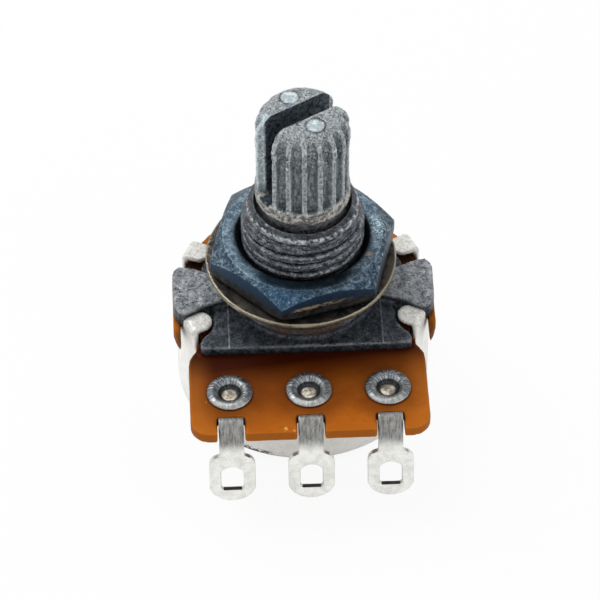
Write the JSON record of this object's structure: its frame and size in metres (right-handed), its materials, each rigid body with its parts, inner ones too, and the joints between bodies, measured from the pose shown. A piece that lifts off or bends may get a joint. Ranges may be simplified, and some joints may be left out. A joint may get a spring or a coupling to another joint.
{
  "type": "rotary potentiometer",
  "caption": "Panel-mount rotary potentiometer with a threaded bushing, hex nut, washer, split knurled shaft and solder lugs on a laminate board.",
  "frame": {"origin": "centre of the can's flat back face, on the shaft axis", "axes": "+Z along the shaft to its free end, -Y to the solder lugs, +X to the right seen from the lugs"},
  "size_m": [0.0172, 0.0214, 0.0239],
  "materials": {
    "tinned_steel": "bright tin plate, satin, lightly scuffed",
    "phenolic": "orange-brown laminate, satin",
    "carbon_ink": "printed carbon film, matt",
    "silver_ink": "printed silver, matt",
    "eyelet_metal": "rolled and tarnished, with radial streaks",
    "tinned_lug": "tin plate, pitted",
    "cast_zinc": "die cast, dark and granular, worn bright on edges",
    "washer_steel": "plated, stained brown, bright rim",
    "nut_steel": "blue-grey plating, streaked",
    "shaft_zinc": "die cast, pale and granular",
    "spring_steel": "plain",
    "rotor_plastic": "moulded, matt",
    "spring_bronze": "plain spring sheet"
  },
  "bodies": {
    "housing": {"rear_can": "tinned_steel", "resistor_board": "phenolic", "carbon_track": "carbon_ink", "collector_ring": "silver_ink", "silver_pad_left": "silver_ink", "silver_pad_right": "silver_ink", "eyelet_left": "eyelet_metal", "eyelet_centre": "eyelet_metal", "eyelet_right": "eyelet_metal", "lug_left": "tinned_lug", "lug_centre": "tinned_lug", "lug_right": "tinned_lug", "bushing_plate": "cast_zinc", "flat_washer": "washer_steel", "hex_nut": "nut_steel"},
    "shaft": {"shaft": "shaft_zinc", "retaining_ring": "spring_steel", "rotor": "rotor_plastic", "wiper": "spring_bronze"}
  },
  "joints": [
    {"name": "shaft_turn", "type": "hinge", "parent": "housing", "child": "shaft", "pos_m": [0, 0, 0], "axis": [0, 0, 1], "range_deg": [0, 300]}
  ]
}
